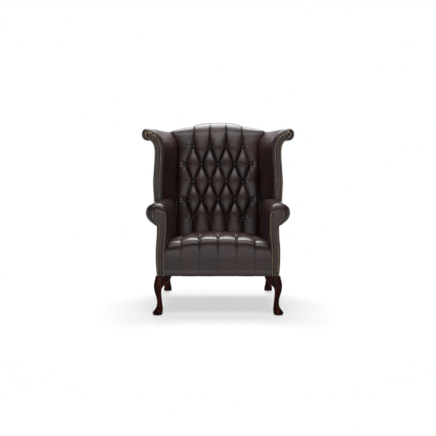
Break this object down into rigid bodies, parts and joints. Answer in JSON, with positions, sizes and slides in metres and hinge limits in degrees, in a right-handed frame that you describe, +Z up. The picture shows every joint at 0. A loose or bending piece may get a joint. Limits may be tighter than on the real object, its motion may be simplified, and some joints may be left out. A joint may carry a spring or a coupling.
{
  "type": "wing armchair",
  "caption": "High-backed wing armchair with outward-scrolled wings, rolled arms, deep-buttoned leather back and seat, nailed facings and cabriole front legs.",
  "frame": {"origin": "on the floor, at the bottom centre of the chair's bounding box", "axes": "+Z up, the chair faces -Y, and +X is on the right of someone who looks at its front"},
  "size_m": [0.904, 0.7783, 1.101],
  "materials": {
    "leather": "dark burgundy-brown upholstery leather, semi-gloss, fine grain, over its padding",
    "show_wood": "polished dark mahogany",
    "frame_wood": "sawn beech",
    "brass_nails": "antiqued brass dress nails",
    "steel": "plain steel wire, clips and bolts",
    "foam": "upholstery foam",
    "cloth": "black woven webbing and bottoming cloth",
    "glide": "moulded nylon"
  },
  "bodies": {
    "root": {"arm_facing_left": "leather", "arm_facing_right": "leather", "arm_nails_left": "brass_nails", "arm_nails_right": "brass_nails", "arm_rail_left": "frame_wood", "arm_rail_right": "frame_wood", "arm_stump_left": "frame_wood", "arm_stump_right": "frame_wood", "back_buttons": "leather", "back_foam": "foam", "back_nails": "brass_nails", "back_post_left": "frame_wood", "back_post_right": "frame_wood", "back_webbing": "cloth", "corner_blocks": "frame_wood", "crest_rail": "frame_wood", "dust_cover": "cloth", "foot_glides": "glide", "front_leg_front_ear_left": "show_wood", "front_leg_front_ear_right": "show_wood", "front_leg_left": "show_wood", "front_leg_right": "show_wood", "front_leg_side_ear_left": "show_wood", "front_leg_side_ear_right": "show_wood", "front_rail": "frame_wood", "inside_arm_cover_left": "leather", "inside_arm_cover_right": "leather", "inside_back_cover": "leather", "inside_wing_cover_left": "leather", "inside_wing_cover_right": "leather", "leg_bolts": "steel", "outside_arm_cover_left": "leather", "outside_arm_cover_right": "leather", "outside_back_cover": "leather", "outside_wing_cover_left": "leather", "outside_wing_cover_right": "leather", "rear_leg_left": "show_wood", "rear_leg_right": "show_wood", "rear_rail": "frame_wood", "seat_buttons": "leather", "seat_cover": "leather", "seat_foam": "foam", "seat_springs": "steel", "side_rail_left": "frame_wood", "side_rail_right": "frame_wood", "spring_clips": "steel", "spring_cloth": "cloth", "stay_rail": "frame_wood", "wing_facing_left": "leather", "wing_facing_right": "leather", "wing_nails_left": "brass_nails", "wing_nails_right": "brass_nails", "wing_post_left": "frame_wood", "wing_post_right": "frame_wood", "wing_top_rail_left": "frame_wood", "wing_top_rail_right": "frame_wood"}
  },
  "joints": []
}
